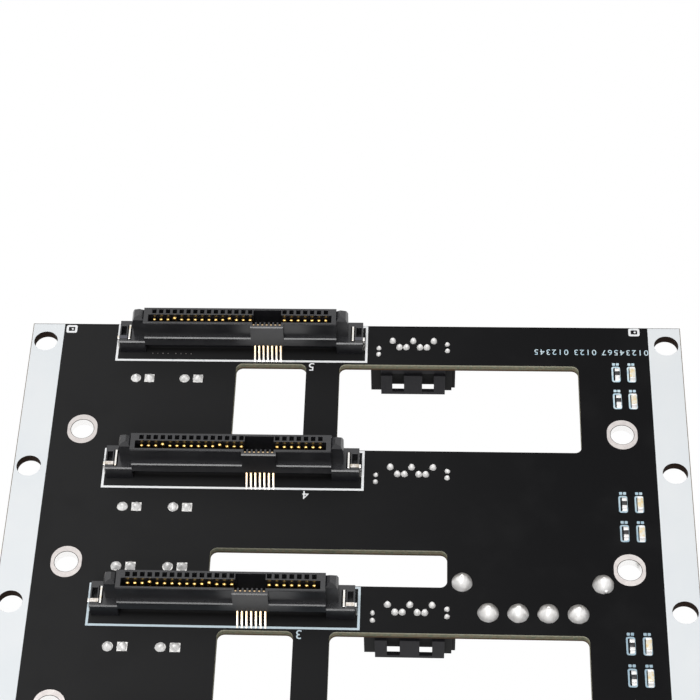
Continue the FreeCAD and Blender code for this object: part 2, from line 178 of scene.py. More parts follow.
mask = Finish("satin_black_solder_mask", mask_left_painted_sheen, 0.42, Specular_IOR_Level=0.06)
place = mask.place()
across = mask.axis(place, "X")
along = mask.axis(place, "Y")
height = (mask.axis(place, "Z") - board_back) / board_thick
wall = abs(mask.axis(mask.facing(), "Z")) < 0.5
screw_edge = abs(across) > board_high[0] - screw_margin
outer_rim = abs(across) > board_high[0] - outer_rim_width
far_rim = along > board_high[1] - far_rim_width
skin = mask.noise(7 * MM, 4.0)
grain = mask.noise(0.12 * MM, 2.0)
weave = mask.noise(0.6 * MM, 3.0, 0.6)
ragged = (weave - 0.5) * 0.5
# The mask is painted lighter towards the left and darker towards the right: a painted sheen from
# the left lamp.
face_color = mask.mix(across.fade(board_low[0], board_high[0] * 0.8), mask_left_painted_sheen, mask_right_without_sheen)
face_color = mask.mix(skin.fade(0.45, 0.8) * 0.35, face_color, mask_worn)
face_color = mask.mix(far_rim, face_color, (0.0, 0.0, 0.0))
face_color = mask.mix(outer_rim, face_color, edge_brown)
cut_color = mask.mix(weave.fade(0.35, 0.65), routed_tan, routed_green)
# The top of every cut wall is painted pale: a painted highlight along its upper edge.
cut_color = mask.mix((height + ragged).fade(0.70, 0.90), cut_color, wall_top_painted_highlight)
cut_color = mask.mix((height + ragged * 0.6).fade(0.42, 0.14), cut_color, routed_foot)
cut_color = mask.mix(screw_edge, cut_color, drilled_brown)
mask.color(mask.mix(wall, face_color, cut_color))
mask.roughness(wall * 0.3 + 0.36 + grain * 0.12)
mask.bump(grain * 0.7 + skin * 0.3, 0.006 * MM)
frame["nodes"]["board"].material_slots[0].material = mask.material

# ---------------------------------------------------------------------------
# White print: bands down the long edges, a box round every receptacle with the
# bay's number before it, corner marks and a line of plain digits at the far end.
# Screen-printed epoxy ink, a few hundredths of a millimetre thick.
# ---------------------------------------------------------------------------
ink_thick = 0.03 * MM
ink_lift = 0.004 * MM
band_width = 6.0 * MM
band_inset = 0.12 * MM
outline_line = 0.42 * MM
outline_margin = ((-0.82 * MM, 0.85 * MM), (-2.0 * MM, 1.58 * MM))
corner_mark_size = (2.05 * MM, 1.8 * MM)
corner_mark_line = 0.42 * MM
corner_mark_inset = ((7.4 * MM, -1.25 * MM), (8.5 * MM, -1.02 * MM))
corner_mark_round = (0.35 * MM, 0.12 * MM)
corner_mark_dot = (0.15 * MM, 0.2 * MM)
bay_number_size = 2.5 * MM
bay_number_place = (9.45 * MM, 0.95 * MM)
serial_size = 1.76 * MM
serial_spacing = 1.25
serial_place = (43.95 * MM, -5.75 * MM)
ink_white = (0.80, 0.835, 0.86)
ink_line = (0.92, 0.93, 0.94)
circle_steps = 48


def hole_centres(pattern):
    """Hole centres of one of the record's two-column screw patterns, all bays."""
    outer = mounts[pattern + "_outer"]
    half = outer["dims"]["spacing_x_mm"] * MM / 2
    middle = outer["pos_m"]
    rows = [middle[1] + (n - 2) * bay_pitch for n in range(len(bays))]
    return [(side * half, y) for y in rows for side in (-1, 1)]


def circle(x, y, radius, steps=circle_steps):
    turn = 2 * math.pi / steps
    return [(x + radius * math.cos(n * turn), y + radius * math.sin(n * turn))
            for n in range(steps)]


def rectangle(x, y, corner=0.0, steps=5):
    """Outline from pairs of limits, with rounded corners where a radius is given."""
    if not corner:
        return [(x[0], y[0]), (x[1], y[0]), (x[1], y[1]), (x[0], y[1])]
    points = []
    centres = [(x[1] - corner, y[1] - corner), (x[0] + corner, y[1] - corner),
               (x[0] + corner, y[0] + corner), (x[1] - corner, y[0] + corner)]
    for quarter, (cx, cy) in enumerate(centres):
        for n in range(steps + 1):
            angle = (quarter + n / steps) * math.pi / 2
            points.append((cx + corner * math.cos(angle), cy + corner * math.sin(angle)))
    return points


def finish_piece(name, mesh, finish, node=None, smooth=None):
    """Puts a finished mesh in the scene as a piece that rides with the board."""
    piece = bpy.data.objects.new(name, mesh)
    bpy.context.scene.collection.objects.link(piece)
    mesh.materials.clear()
    mesh.materials.append(finish.material)
    if smooth is not None:
        mesh.shade_smooth()
        mesh.set_sharp_from_angle(angle=math.radians(smooth))
    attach(piece, "root")
    if node:
        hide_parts(node)
    return piece


def mesh_from(maker, name):
    """Mesh from a bmesh, with its faces turned outwards."""
    bmesh.ops.recalc_face_normals(maker, faces=maker.faces)
    mesh = bpy.data.meshes.new(name)
    maker.to_mesh(mesh)
    maker.free()
    return mesh


def flat_mesh(name, outlines, low, thick):
    """Thin plate from closed outlines; an outline inside another is a hole."""
    curve = bpy.data.curves.new(name, "CURVE")
    curve.dimensions = "2D"
    curve.fill_mode = "BOTH"
    curve.extrude = thick / 2
    for outline in outlines:
        spline = curve.splines.new("POLY")
        spline.points.add(len(outline) - 1)
        for point, (x, y) in zip(spline.points, outline):
            point.co = (x, y, 0, 1)
        spline.use_cyclic_u = True
    return mesh_of_curve(curve, Matrix.Translation((0, 0, low + thick / 2)))


def mesh_of_curve(curve, place):
    """Mesh of a flat curve or text, put in its place and merged."""
    holder = bpy.data.objects.new(curve.name, curve)
    bpy.context.scene.collection.objects.link(holder)
    bpy.context.view_layer.update()
    mesh = bpy.data.meshes.new_from_object(holder.evaluated_get(
        bpy.context.evaluated_depsgraph_get()))
    bpy.data.objects.remove(holder)
    bpy.data.curves.remove(curve)
    maker = bmesh.new()
    maker.from_mesh(mesh)
    bpy.data.meshes.remove(mesh)
    bmesh.ops.transform(maker, matrix=place, verts=maker.verts)
    bmesh.ops.remove_doubles(maker, verts=maker.verts, dist=0.0005 * MM)
    return mesh_from(maker, "flat")


ink = Finish("white_epoxy_ink", ink_white, 0.55, Specular_IOR_Level=0.3)
ink_cloud = ink.noise(14 * MM, 3.0)
ink.color(ink.mix(ink_cloud.fade(0.3, 0.75), ink_white, (0.84, 0.865, 0.88)))
ink.bump(ink.noise(0.25 * MM, 2.0), 0.004 * MM)

line_ink = Finish("white_line_ink", ink_line, 0.5, Specular_IOR_Level=0.3)
line_wear = line_ink.noise(1.1 * MM, 4.0)
line_near = line_ink.axis(line_ink.place(), "Y").fade(1.1 * bay_pitch, 0.2 * bay_pitch)
line_color = line_ink.mix(line_near * 0.75, ink_line, (0.46, 0.60, 0.68))
line_ink.color(line_ink.mix(line_wear.fade(0.62, 0.8), line_color, (0.50, 0.58, 0.64)))

pale_ink = Finish("pale_box_ink", (0.60, 0.76, 0.84), 0.5, Specular_IOR_Level=0.3)
pale_near = pale_ink.axis(pale_ink.place(), "Y").fade(1.7 * bay_pitch, 0.6 * bay_pitch)
pale_color = pale_ink.mix(pale_ink.noise(0.8 * MM).fade(0.4, 0.7), (0.70, 0.84, 0.90),
                          (0.48, 0.68, 0.80))
pale_ink.color(pale_ink.mix(pale_near * 0.7, pale_color, (0.24, 0.36, 0.45)))

strip_hole_radius = mounts["edge_screws_outer"]["dims"]["hole_r_mm"] * MM
edge_screws = hole_centres("edge_screws")
for side, name in ((-1, "left_edge_band"), (1, "right_edge_band")):
    edge = side * board_high[0]
    x = sorted((edge - side * band_width, edge - side * band_inset))
    holes = [circle(hx, hy, strip_hole_radius * 1.01) for hx, hy in edge_screws if hx * side > 0]
    y = (board_low[1] + band_inset, board_high[1] - band_inset)
    band = flat_mesh(name, [rectangle(x, y)] + holes,
                     board_top + ink_lift, ink_thick)
    finish_piece(name, band, ink)

for bay in bays:
    low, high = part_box("drive_receptacle_" + bay)
    x = (low[0] + outline_margin[0][0], high[0] + outline_margin[0][1])
    y = (low[1] + outline_margin[1][0], high[1] + outline_margin[1][1])
    inner = [(a + outline_line, b - outline_line) for a, b in (x, y)]
    box_print = flat_mesh("outline", [rectangle(x, y), rectangle(*inner)],
                          board_top + ink_lift, ink_thick)
    finish_piece("receptacle_outline_" + bay, box_print, line_ink)

for side, (inset_x, offset_y) in zip((-1, 1), corner_mark_inset):
    x = side * (board_high[0] - inset_x)
    y = board_high[1] + offset_y
    limits = [(middle - size / 2, middle + size / 2)
              for middle, size in zip((x, y), corner_mark_size)]
    inner = [(low + corner_mark_line, high - corner_mark_line) for low, high in limits]
    mark = flat_mesh("mark", [rectangle(*limits, corner_mark_round[0]),
                              rectangle(*inner, corner_mark_round[1]),
                              circle(x + corner_mark_dot[0], y, corner_mark_dot[1], 16)],
                     board_top + ink_lift, ink_thick)
    finish_piece("corner_mark_" + ("left" if side < 0 else "right"), mark, line_ink)


def print_number(name, text, centre, size, finish, spacing=1.0):
    """Plain digits printed so that they read from the far side of the board."""
    curve = bpy.data.curves.new(name, "FONT")
    curve.body = text
    curve.size = size
    curve.align_x = "CENTER"
    curve.align_y = "CENTER"
    curve.extrude = ink_thick / 2
    curve.space_character = spacing
    place = Matrix.Translation((centre[0], centre[1], board_top + ink_lift + ink_thick / 2))
    mesh = mesh_of_curve(curve, place @ Matrix.Rotation(math.pi, 4, "Z"))
    return finish_piece(name, mesh, finish)


for bay in bays:
    low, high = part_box("drive_receptacle_" + bay)
    centre = (high[0] - bay_number_place[0],
              low[1] + outline_margin[1][0] - bay_number_place[1])
    print_number("bay_number_" + bay, bay, centre, bay_number_size, line_ink)
centre = (serial_place[0], board_high[1] + serial_place[1])
print_number("serial_digits", "01234567 0123 012345", centre, serial_size, pale_ink,
             serial_spacing)

# ---------------------------------------------------------------------------
# Plated mounting holes: a tinned obround pad on both faces of the board and a
# plated wall between them, ten in all, inboard of the edge bands.
# ---------------------------------------------------------------------------
pad_width = 5.45 * MM
pad_height = 6.4 * MM
pad_thick = 0.05 * MM
pad_lap = 0.03 * MM
barrel_wall = 0.12 * MM
tin = (0.66, 0.62, 0.60)
plated_tin = (0.94, 0.93, 0.92)


def obround(x, y, width, height):
    """Outline with straight sides along Y and round ends."""
    reach = (height - width) / 2
    points = []
    for n in range(circle_steps):
        angle = (n + 0.5) * 2 * math.pi / circle_steps
        shift = reach if math.sin(angle) > 0 else -reach
        points.append((x + width / 2 * math.cos(angle),
                       y + shift + width / 2 * math.sin(angle)))
    return points


pad_tin = Finish("levelled_tin_pad", tin, 0.30, 1.0)
pad_cloud = pad_tin.noise(1.6 * MM, 4.0, 0.6)
pad_tin.color(pad_tin.mix(pad_cloud.fade(0.35, 0.7), tin, (0.52, 0.48, 0.47)))
pad_tin.roughness(pad_cloud * 0.3 + 0.22)
pad_tin.bump(pad_tin.noise(0.9 * MM, 3.0), 0.03 * MM)

barrel_tin = Finish("bright_plated_wall", plated_tin, 0.16, 1.0)
barrel_tin.roughness(barrel_tin.noise(0.8 * MM, 3.0) * 0.2 + 0.08)
# The barrel's flat rims are painted near-black: a painted shadow line round the edge of the bore.
lip_painted_shade = abs(barrel_tin.axis(barrel_tin.facing(), "Z")) > 0.7
barrel_tin.color(barrel_tin.mix(lip_painted_shade, plated_tin, (0.03, 0.025, 0.022)))

ring_radius = mounts["ring_holes_outer"]["dims"]["hole_r_mm"] * MM
for number, (x, y) in enumerate(hole_centres("ring_holes")):
    outlines = [obround(x, y, pad_width, pad_height), circle(x, y, ring_radius - pad_lap)]
    pads = bmesh.new()
    for low in (board_top, board_back - pad_thick):
        pads.from_mesh(flat_mesh("pad", outlines, low, pad_thick))
    finish_piece("hole_pads_%d" % (number + 1), mesh_from(pads, "pads"), pad_tin)
    barrel = bmesh.new()
    bmesh.ops.create_circle(barrel, cap_ends=False, segments=circle_steps,
                            radius=ring_radius - barrel_wall,
                            matrix=Matrix.Translation((x, y, board_back)))
    walls = bmesh.ops.extrude_edge_only(barrel, edges=barrel.edges[:])["geom"]
    bmesh.ops.translate(barrel, vec=(0, 0, board_thick),
                        verts=[item for item in walls if isinstance(item, bmesh.types.BMVert)])
    bmesh.ops.recalc_face_normals(barrel, faces=barrel.faces)
    bmesh.ops.solidify(barrel, geom=barrel.faces[:], thickness=-barrel_wall * 0.85)
    finish_piece("plated_barrel_%d" % (number + 1), mesh_from(barrel, "barrel"), barrel_tin,
                 smooth=40)

# ---------------------------------------------------------------------------
# Drive receptacles: one black glass-filled nylon moulding a bay, with a blade
# slot, a cavity behind every contact, a comb for the second port, low ears and
# blind-mate posts. Its form is the CAD solid with its edges broken.
# ---------------------------------------------------------------------------
nylon_black = (0.0080, 0.0080, 0.0100)
nylon_grey = (0.024, 0.024, 0.030)
long_edge = 4.0 * MM
front_reach = 1.0 * MM
long_round = 0.2 * MM
small_round = 0.05 * MM
weld = 0.002 * MM


def moulded_copy(node, long_width, small_width):
    """Mesh of a moulded CAD part: its long upper front edges rounded, then its small ones."""
    maker = bmesh.new()
    maker.from_mesh(frame["nodes"][node].data)
    bmesh.ops.remove_doubles(maker, verts=maker.verts, dist=weld)
    bmesh.ops.dissolve_limit(maker, angle_limit=math.radians(2), verts=maker.verts,
                             edges=maker.edges)

    def round_edges(width, clamped, wanted):
        chosen = [edge for edge in maker.edges if len(edge.link_faces) == 2 and edge.is_convex
                  and edge.calc_face_angle() > math.radians(50) and wanted(edge)]
        bmesh.ops.bevel(maker, geom=chosen, offset=width, offset_type="OFFSET",
                        segments=1, profile=0.5, affect="EDGES", material=-1,
                        clamp_overlap=clamped)

    front = min(vert.co.y for vert in maker.verts)

    def upper_front(edge):
        faces = edge.link_faces
        return (edge.calc_length() > long_edge and edge.verts[0].co.y < front + front_reach
                and any(face.normal.z > 0.9 for face in faces)
                and any(face.normal.y < -0.9 for face in faces))

    if long_width:
        round_edges(long_width, False, upper_front)
    round_edges(small_width, True, lambda edge: edge.calc_length() > 2 * small_width)
    mesh = bpy.data.meshes.new(node + "_form")
    maker.to_mesh(mesh)
    maker.free()
    return mesh


nylon = Finish("black_glass_filled_nylon", nylon_black, 0.42, Specular_IOR_Level=0.8)
flow = nylon.noise(2.4 * MM, 4.0, 0.6)
speckle = nylon.noise(0.16 * MM, 2.0, 0.6)
nylon.color(nylon.mix(speckle.fade(0.5, 0.8), nylon_black, nylon_grey))
upright = nylon.axis(nylon.facing(), "Y") < -0.8
nylon.roughness(flow * 0.16 + speckle * 0.12 + 0.14 + upright * 0.1)
nylon.bump(speckle * 0.8 + flow * 0.2, 0.005 * MM)

for bay in bays:
    form = moulded_copy("drive_receptacle_" + bay, long_round, small_round)
    finish_piece("receptacle_housing_" + bay, form, nylon,
                 "drive_receptacle_" + bay)

# ---------------------------------------------------------------------------
# Drive contacts: stamped copper alloy springs, gold flashed, that stand in the
# blade slot. Each bows toward the blade and ends in a coined, rounded tip.
# ---------------------------------------------------------------------------
gold = (0.90, 0.60, 0.20)
gold_deep = (0.78, 0.47, 0.13)
spring_width = 0.6 * MM
spring_thick = 0.2 * MM
stem_height = 2.4 * MM
stem_lean = 0.04 * MM
spring_bow = ((0.14 * MM, 2.1 * MM), (0.62 * MM, 0.55 * MM), (0.2 * MM, 0.16 * MM))
tip_radius = 0.31 * MM
tip_flat = 0.45
tip_place = (0.16 * MM, 0.06 * MM)
heel_radius = 0.16 * MM
heel_place = (0.46 * MM, 0.1 * MM)
early_rise = 0.2 * MM
gold_finish = Finish("gold_flash", gold, 0.22, 1.0)
gold_cloud = gold_finish.noise(0.5 * MM, 3.0)
gold_finish.color(gold_finish.mix(gold_cloud.fade(0.35, 0.75), gold, gold_deep))
gold_finish.roughness(gold_cloud * 0.2 + 0.16)


def loose_solids(node):
    """Corners of each separate solid of a CAD node, as pairs of lowest and highest."""
    maker = bmesh.new()
    maker.from_mesh(frame["nodes"][node].data)
    bmesh.ops.remove_doubles(maker, verts=maker.verts, dist=weld)
    left = set(maker.verts)
    boxes = []
    while left:
        group = {left.pop()}
        reached = list(group)
        while reached:
            vert = reached.pop()
            near = {other for link in vert.link_edges for other in link.verts} - group
            group |= near
            left -= near
            reached += near
        places = [vert.co for vert in group]
        boxes.append((Vector(min(p[i] for p in places) for i in range(3)),
                      Vector(max(p[i] for p in places) for i in range(3))))
    maker.free()
    return sorted(boxes, key=lambda pair: (pair[0].x, pair[0].y))


def bent_strip(maker, points, thick, x, bevel):
    """Adds a bent flat strip: a centre line in Y and Z, thickened, extruded along X."""
    line = [Vector((0, y, z)) for y, z in points]
    runs = [(b - a).normalized() for a, b in zip(line, line[1:])]
    runs = [runs[0]] + runs + [runs[-1]]
    sides = []
    for before, after in zip(runs, runs[1:]):
        along = (before + after).normalized()
        stretch = 1 / max(along.dot(after), 0.5)
        sides.append(Vector((0, -along.z, along.y)) * (stretch * thick / 2))
    outline = [p + s for p, s in zip(line, sides)]
    outline += [p - s for p, s in reversed(list(zip(line, sides)))]
    start = len(maker.verts)
    corners = [maker.verts.new((x[0], p.y, p.z)) for p in outline]
    face = maker.faces.new(corners)
    moved = bmesh.ops.extrude_face_region(maker, geom=[face])["geom"]
    verts = [item for item in moved if isinstance(item, bmesh.types.BMVert)]
    bmesh.ops.translate(maker, vec=(x[1] - x[0], 0, 0), verts=verts)
    maker.verts.ensure_lookup_table()
    if bevel:
        fresh = set(maker.verts[start:])
        edges = [edge for edge in maker.edges if fresh.issuperset(edge.verts)
                 and abs(edge.verts[0].co.x - edge.verts[1].co.x) < thick / 100]
        bmesh.ops.bevel(maker, geom=edges, offset=bevel, offset_type="OFFSET", segments=2,
                        profile=0.5, affect="EDGES", material=-1, clamp_overlap=True)


def bow(start, crest, end, steps):
    """Points of a smooth bow from start through crest to end, in Y and Z."""
    points = []
    for n in range(steps + 1):
        t = n / steps
        a, b, c = (1 - t) ** 2, 2 * t * (1 - t), t ** 2
        points.append((a * start[0] + b * crest[0] + c * end[0],
                       a * start[1] + b * crest[1] + c * end[1]))
    return points


for bay in bays:
    maker = bmesh.new()
    springs = loose_solids("drive_contacts_" + bay)
    lowest_tip = min(high.z for low, high in springs)
    for low, high in springs:
        middle = (low.x + high.x) / 2
        stem = high.y - spring_thick / 2
        path = [(stem, low.z), (stem - stem_lean, low.z + stem_height)]
        path += bow(*[(stem - ahead, high.z - below) for ahead, below in spring_bow], 7)
        bent_strip(maker, path, spring_thick,
                   (middle - spring_width / 2, middle + spring_width / 2), 0.04 * MM)
        dome = Matrix.Translation((middle, stem - tip_place[0], high.z - tip_place[1]))
        bmesh.ops.create_uvsphere(maker, u_segments=16, v_segments=8, radius=tip_radius,
                                  matrix=dome @ Matrix.Diagonal((1, 1, tip_flat, 1)))
        if high.z > lowest_tip + early_rise:
            heel = Matrix.Translation((middle, stem + heel_place[0], high.z - heel_place[1]))
            bmesh.ops.create_uvsphere(maker, u_segments=12, v_segments=8, radius=heel_radius,
                                      matrix=heel)
    finish_piece("drive_springs_" + bay, mesh_from(maker, "springs"), gold_finish,
                 "drive_contacts_" + bay, smooth=45)

# ---------------------------------------------------------------------------
# Second port: seven fine contacts in the comb of the bump, each brought down
# under it and run in one slope to its joint on the board. Gold above, tin below.
# ---------------------------------------------------------------------------
port_thick = 0.18 * MM
port_width = 0.33 * MM
toe_reach = 0.2 * MM
tail_length = 7.5 * MM
port_knee = ((0.0, 2.7 * MM), (0.02 * MM, 2.2 * MM), (0.45 * MM, 1.78 * MM))
port_foot = ((0.6 * MM, 0.62 * MM), (0.25 * MM, 0.3 * MM), (-toe_reach, 0.1 * MM))
port_joint_radius = 0.2 * MM
tail_tin = Finish("tinned_copper_tails", (0.90, 0.87, 0.80), 0.2, 1.0)
tail_cloud = tail_tin.noise(0.45 * MM, 3.0)
tail_height = (tail_tin.axis(tail_tin.place(), "Z") - board_top) / tail_length
tail_tin.color(tail_tin.mix((tail_height + tail_cloud * 0.2 - 0.1).fade(0.02, 0.24),
                            (0.90, 0.86, 0.80), (0.82, 0.60, 0.36)))
tail_tin.roughness(tail_cloud * 0.2 + 0.14)


def trim_at_board(maker):
    """Cuts off what lies in the board and closes the cut."""
    bmesh.ops.bisect_plane(maker, geom=maker.verts[:] + maker.edges[:] + maker.faces[:],
                           plane_co=(0, 0, board_top + weld), plane_no=(0, 0, 1),
                           clear_inner=True)
    bmesh.ops.holes_fill(maker, edges=maker.edges)


for bay in bays:
    maker = bmesh.new()
    for low, high in loose_solids("second_port_contacts_" + bay):
        middle = (low.x + high.x) / 2
        stem = high.y - port_thick / 2
        knee = bow(*[(stem - ahead, low.z + above) for ahead, above in port_knee], 4)
        foot = bow(*[(low.y + behind, low.z + above) for behind, above in port_foot], 3)
        path = [(stem, high.z + 0.3 * MM)] + knee + foot
        bent_strip(maker, path, port_thick, (middle - port_width / 2, middle + port_width / 2),
                   0.03 * MM)
        fillet = Matrix.Translation((middle, low.y + 0.05 * MM, low.z))
        bmesh.ops.create_uvsphere(maker, u_segments=12, v_segments=8, radius=port_joint_radius,
                                  matrix=fillet @ Matrix.Diagonal((1.05, 1.6, 0.8, 1)))
    trim_at_board(maker)
    finish_piece("second_port_tails_" + bay, mesh_from(maker, "tails"), tail_tin,
                 "second_port_contacts_" + bay, smooth=45)

# ---------------------------------------------------------------------------
# Board locks: tinned sheet metal at both ends of every receptacle, and the
# blades of the cable headers' forks. Stamped, so their edges are barely round.
# ---------------------------------------------------------------------------
lock_tin = Finish("tinned_sheet", (0.86, 0.84, 0.80), 0.26, 1.0)
lock_cloud = lock_tin.noise(0.7 * MM, 4.0)
lock_tin.color(lock_tin.mix(lock_cloud.fade(0.5, 0.8), (0.90, 0.88, 0.85), (0.74, 0.62, 0.42)))
lock_tin.roughness(lock_cloud * 0.25 + 0.16)
for bay in bays:
    for node, name in (("receptacle_locks_", "receptacle_lock_blades_"),
                       ("cable_header_forks_", "header_forks_")):
        form = moulded_copy(node + bay, 0, 0.03 * MM)
        finish_piece(name + bay, form, lock_tin, node + bay)

# ---------------------------------------------------------------------------
# Straps of the locks: thin tinned strips across the tops of the ears, with
# patches of bare brass, and painted dark at the far bay as painted shade.
# ---------------------------------------------------------------------------
strap_x = (0.02 * MM, 1.5 * MM)
strap_y = (0.88 * MM, 1.58 * MM)
ear_height = 3.1 * MM
strap_tin = Finish("tinned_strap", (0.80, 0.77, 0.73), 0.3, 0.8)
strap_cloud = strap_tin.noise(0.5 * MM, 4.0, 0.6)
# The straps of the far bay are painted dark: painted shade.
far_strap_painted_shade = strap_tin.axis(strap_tin.place(), "Y").fade(1.5 * bay_pitch, 1.9 * bay_pitch)
strap_color = strap_tin.mix(strap_cloud.fade(0.35, 0.65), (0.84, 0.80, 0.77), (0.50, 0.44, 0.36))
strap_tin.color(strap_tin.mix(far_strap_painted_shade, strap_color, (0.10, 0.10, 0.115)))
strap_tin.roughness(strap_cloud * 0.3 + 0.2)
for bay in bays:
    low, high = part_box("drive_receptacle_" + bay)
    straps = bmesh.new()
    for x in ((low[0] + strap_x[0], low[0] + strap_x[1]),
              (high[0] - strap_x[1], high[0] - strap_x[0])):
        outline = rectangle(x, (low[1] + strap_y[0], low[1] + strap_y[1]), 0.08 * MM)
        straps.from_mesh(flat_mesh("strap", [outline], low[2] + ear_height + ink_lift, ink_thick))
    finish_piece("lock_straps_" + bay, mesh_from(straps, "straps"), strap_tin)

# ---------------------------------------------------------------------------
# Cable headers on the back: black nylon shrouds with two latch windows, an L
# tongue and seven gold blades. Their bases are soldered through the board.
# ---------------------------------------------------------------------------
header_black = (0.026, 0.0255, 0.029)
header_grey = (0.042, 0.041, 0.045)
painted_shade_band = (0.9 * MM, 5.2 * MM)
header_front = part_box("cable_header_5")[0][1]
header_nylon = Finish("black_header_nylon", header_black, 0.5, Specular_IOR_Level=0.12)
header_grain = header_nylon.noise(0.2 * MM, 3.0, 0.6)
behind = (header_nylon.axis(header_nylon.place(), "Y") - header_front) / bay_pitch
behind = behind.maths("FRACT", behind) * bay_pitch
# A band of each shroud, 0.9 to 5.2 mm behind its front, is painted near-black: painted shade of the
# recess below the board.
painted_recess_shade = (behind > painted_shade_band[0]) * (behind < painted_shade_band[1])
header_color = header_nylon.mix(header_grain.fade(0.45, 0.8), header_black, header_grey)
header_nylon.color(header_nylon.mix(painted_recess_shade * 0.9, header_color, (0.0, 0.0, 0.0)))
header_nylon.roughness(header_grain * 0.2 + 0.4)
header_nylon.bump(header_grain, 0.010 * MM)
for bay in bays:
    form = moulded_copy("cable_header_" + bay, 0.08 * MM, 0.05 * MM)
    finish_piece("cable_header_shroud_" + bay, form, header_nylon,
                 "cable_header_" + bay)
    form = moulded_copy("cable_contacts_" + bay, 0, 0.04 * MM)
    finish_piece("cable_header_blades_" + bay, form, gold_finish,
                 "cable_contacts_" + bay)

# ---------------------------------------------------------------------------
# Solder joints on the drive side: broad domes with the pin's end showing on the
# power pins, cones on the capacitors' leads, drops on the pins and fork prongs.
# ---------------------------------------------------------------------------
solder = Finish("bright_solder", (0.60, 0.58, 0.56), 0.4, 0.55)
solder_cloud = solder.noise(0.9 * MM, 4.0, 0.6)
# Solder is painted near-white on the side facing the camera and grey on the far side: a painted
# highlight in front and painted shade behind, over a real dull film of flux. Noise mottles both
# sides.
dull_shaded_side = (solder.axis(solder.facing(), "Y") + solder_cloud * 0.5 - 0.25).fade(-0.3, 0.45)
clean_highlit_solder = solder.mix(solder_cloud.fade(0.35, 0.7), (0.97, 0.96, 0.95), (0.84, 0.82, 0.80))
dull_shaded_solder = solder.mix(solder_cloud.fade(0.35, 0.7), (0.56, 0.54, 0.51), (0.30, 0.285, 0.27))
solder.color(solder.mix(dull_shaded_side, clean_highlit_solder, dull_shaded_solder))
solder.roughness(solder_cloud * 0.3 + 0.3)
solder.bump(solder_cloud, 0.05 * MM)
small_solder = Finish("clean_small_joint", (0.95, 0.94, 0.93), 0.4, 0.15)
small_cloud = small_solder.noise(0.35 * MM, 3.0, 0.6)
small_solder.color(small_solder.mix(small_cloud.fade(0.4, 0.75), (0.98, 0.97, 0.96),
                                    (0.86, 0.84, 0.82)))
small_solder.roughness(small_cloud * 0.3 + 0.25)
small_solder.bump(small_cloud, 0.03 * MM)
joint_profile = [(1.0, 0.0), (0.93, 0.2), (0.81, 0.42), (0.64, 0.65), (0.44, 0.84), (0.28, 0.95)]
pin_profile = [(0.24, 0.98), (0.17, 1.02), (0.08, 1.0), (0.0, 0.98)]
drop_profile = [(1.0, 0.0), (0.93, 0.24), (0.79, 0.5), (0.6, 0.73), (0.36, 0.91), (0.0, 1.0)]
cone_profile = [(1.0, 0.0), (0.86, 0.22), (0.66, 0.47), (0.46, 0.7), (0.3, 0.88), (0.16, 0.97),
                (0.0, 1.0)]
# Least foot radius of the CAD joint, then its scale, height, section, steps and lump.
joint_kinds = {"power": (1.2 * MM, 0.93, 2.05 * MM, joint_profile + pin_profile, 32, 0.1 * MM),
               "can": (0.8 * MM, 0.95, 1.0 * MM, cone_profile, 20, 0.22 * MM),
               "signal": (0.5 * MM, 1.12, 0.88 * MM, drop_profile, 20, 0.05 * MM),
               "prong": (0.0, 1.15, 0.6 * MM, drop_profile, 16, 0.12 * MM)}
lump_size = 0.9 * MM
lump_seed = 1
bead_radius = 0.5 * MM
bead_place = (0.35 * MM, -1.35 * MM, 0.3 * MM)


def add_joint(maker, centre, radius, height, profile, segments, lump):
    """Solder joint turned from its section, then made a little uneven by hand-fed solder."""
    start = set(maker.verts)
    base = Vector((centre[0], centre[1], board_top))
    verts = [maker.verts.new(base + Vector((r * radius, 0, h * height))) for r, h in profile]
    edges = [maker.edges.new(pair) for pair in zip(verts, verts[1:])]
    bmesh.ops.spin(maker, geom=verts + edges, cent=base, axis=(0, 0, 1), angle=2 * math.pi,
                   steps=segments, use_merge=True)
    bmesh.ops.remove_doubles(maker, verts=maker.verts, dist=weld)
    for vert in set(maker.verts) - start:
        push = noise.noise_vector(vert.co / lump_size) * lump
        vert.co += Vector((push.x, push.y, push.z * 0.6))


noise.seed_set(lump_seed)
domes = bmesh.new()
drops = bmesh.new()
can_joints = []
for low, high in loose_solids("solder_joints"):
    middle = (low + high) / 2
    radius = (high.y - low.y) / 2
    kind = next(name for name, values in joint_kinds.items() if radius > values[0])
    scale, height, section, steps, lump = joint_kinds[kind][1:]
    add_joint(domes if kind == "power" else drops, middle, radius * scale, height, section,
              steps, lump)
    if kind == "can":
        can_joints.append(middle)
for node in ("power_pegs_4", "power_pegs_2"):
    low, high = max(loose_solids(node), key=lambda pair: pair[0].x)
    middle = (low + high) / 2
    bead = Matrix.Translation((middle.x + bead_place[0], middle.y + bead_place[1],
                               board_top + bead_place[2]))
    bmesh.ops.create_uvsphere(domes, u_segments=16, v_segments=10, radius=bead_radius,
                              matrix=bead)
for maker, name, finish in ((domes, "solder_domes", solder), (drops, "solder_drops", small_solder)):
    trim_at_board(maker)
    finish_piece(name, mesh_from(maker, name), finish, "solder_joints", smooth=50)

# ---------------------------------------------------------------------------
# Pads of the capacitors' leads: a round one to the left and a square one to the
# right of each pair, level with the print.
# ---------------------------------------------------------------------------
can_pad_half = 0.88 * MM
lead_reach = 3.0 * MM
pads = bmesh.new()
for joint in can_joints:
    has_partner = any(0 < joint.x - other.x < lead_reach and abs(joint.y - other.y) < 0.1 * MM
                      for other in can_joints)
    outline = circle(joint.x, joint.y, can_pad_half * 1.05, 24)
    if has_partner:
        outline = rectangle((joint.x - can_pad_half, joint.x + can_pad_half),
                            (joint.y - can_pad_half, joint.y + can_pad_half))
    pads.from_mesh(flat_mesh("pad", [outline], board_top + ink_lift, ink_thick))
finish_piece("capacitor_pads", mesh_from(pads, "pads"), solder)

